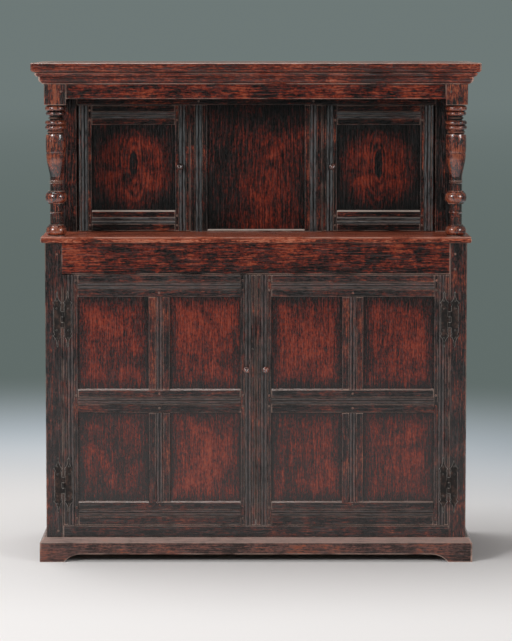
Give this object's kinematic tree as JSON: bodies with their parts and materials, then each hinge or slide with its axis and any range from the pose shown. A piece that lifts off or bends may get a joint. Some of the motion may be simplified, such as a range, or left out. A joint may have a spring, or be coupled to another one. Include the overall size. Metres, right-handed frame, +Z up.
{
  "type": "court cupboard",
  "caption": "Joined oak court cupboard: framed doors below, a recessed cupboard with pivoted doors between turned columns above, under a moulded cornice.",
  "frame": {"origin": "centre of the whole footprint at the floor: halfway across, and halfway from the cornice front to the back boards", "axes": "+Z up, +X to the viewer's right when facing the doors, +Y from the front to the back"},
  "size_m": [1.47, 0.57, 1.65],
  "materials": {
    "oak_frame": "waxed, dark, worn along the edges",
    "oak_panel": "waxed, red-brown in the middle and dark towards the edges",
    "oak_moulding": "waxed, worn on the mouldings",
    "oak_turned": "polished by handling",
    "oak_inside": "dry and unpolished",
    "wrought_iron": "black, hand forged"
  },
  "bodies": {
    "carcass": {"left_front_post": "oak_frame", "right_front_post": "oak_frame", "back_posts": "oak_frame", "lower_frieze_rail": "oak_frame", "lower_bottom_rail": "oak_frame", "left_side_rails": "oak_frame", "right_side_rails": "oak_frame", "side_muntins": "oak_frame", "upper_frieze_rail": "oak_frame", "frieze_side_rails": "oak_frame", "left_corner_post": "oak_frame", "right_corner_post": "oak_frame", "fixed_muntins": "oak_frame", "head_rail": "oak_frame", "centre_sill": "oak_frame", "upper_side_rails": "oak_frame", "middle_shelf": "oak_moulding", "plinth_front": "oak_moulding", "plinth_sides": "oak_moulding", "cornice_front": "oak_moulding", "cornice_sides": "oak_moulding", "top_boards": "oak_moulding", "lower_back_rails": "oak_inside", "upper_back_rail": "oak_inside", "back_boards": "oak_inside", "floor_boards": "oak_inside", "inner_shelf": "oak_inside", "shelf_bearers": "oak_inside", "side_panels": "oak_panel", "centre_panel": "oak_panel", "left_column": "oak_turned", "right_column": "oak_turned", "post_hinge_leaves": "wrought_iron", "hinge_pins": "wrought_iron", "upper_door_pivots": "wrought_iron"},
    "lower_left_door": {"left_door_stiles": "oak_frame", "left_door_rails": "oak_frame", "left_door_muntins": "oak_frame", "left_door_panels": "oak_panel", "left_door_knob": "oak_turned", "left_door_hinge_leaves": "wrought_iron", "lock_case": "wrought_iron"},
    "lower_right_door": {"right_door_stiles": "oak_frame", "right_door_rails": "oak_frame", "right_door_muntins": "oak_frame", "right_door_panels": "oak_panel", "right_door_knob": "oak_turned", "right_door_hinge_leaves": "wrought_iron"},
    "lock_bolt": {"lock_bolt": "wrought_iron"},
    "upper_left_door": {"upper_left_door_stiles": "oak_frame", "upper_left_door_rails": "oak_frame", "upper_left_door_panel": "oak_panel"},
    "upper_right_door": {"upper_right_door_stiles": "oak_frame", "upper_right_door_rails": "oak_frame", "upper_right_door_panel": "oak_panel"},
    "upper_left_latch": {"upper_left_knob": "oak_turned", "left_turn_button": "oak_turned"},
    "upper_right_latch": {"upper_right_knob": "oak_turned", "right_turn_button": "oak_turned"}
  },
  "joints": [
    {"name": "lower_left_hinge", "type": "hinge", "parent": "carcass", "child": "lower_left_door", "pos_m": [-0.63825, -0.2498, 0.53], "axis": [0, 0, -1], "range_deg": [0, 170]},
    {"name": "lower_right_hinge", "type": "hinge", "parent": "carcass", "child": "lower_right_door", "pos_m": [0.63825, -0.2498, 0.53], "axis": [0, 0, 1], "range_deg": [0, 170]},
    {"name": "lock_bolt_slide", "type": "slide", "parent": "lower_left_door", "child": "lock_bolt", "axis": [1, 0, 0], "range_m": [0, 0.012]},
    {"name": "upper_left_pivot", "type": "hinge", "parent": "carcass", "child": "upper_left_door", "pos_m": [-0.5905, 0.002, 1.29275], "axis": [0, 0, -1], "range_deg": [0, 90]},
    {"name": "upper_right_pivot", "type": "hinge", "parent": "carcass", "child": "upper_right_door", "pos_m": [0.5905, 0.002, 1.29275], "axis": [0, 0, 1], "range_deg": [0, 90]},
    {"name": "upper_left_turn", "type": "hinge", "parent": "upper_left_door", "child": "upper_left_latch", "pos_m": [-0.257, -0.01, 1.299], "axis": [0, -1, 0], "range_deg": [0, 90]},
    {"name": "upper_right_turn", "type": "hinge", "parent": "upper_right_door", "child": "upper_right_latch", "pos_m": [0.257, -0.01, 1.299], "axis": [0, 1, 0], "range_deg": [0, 90]}
  ]
}
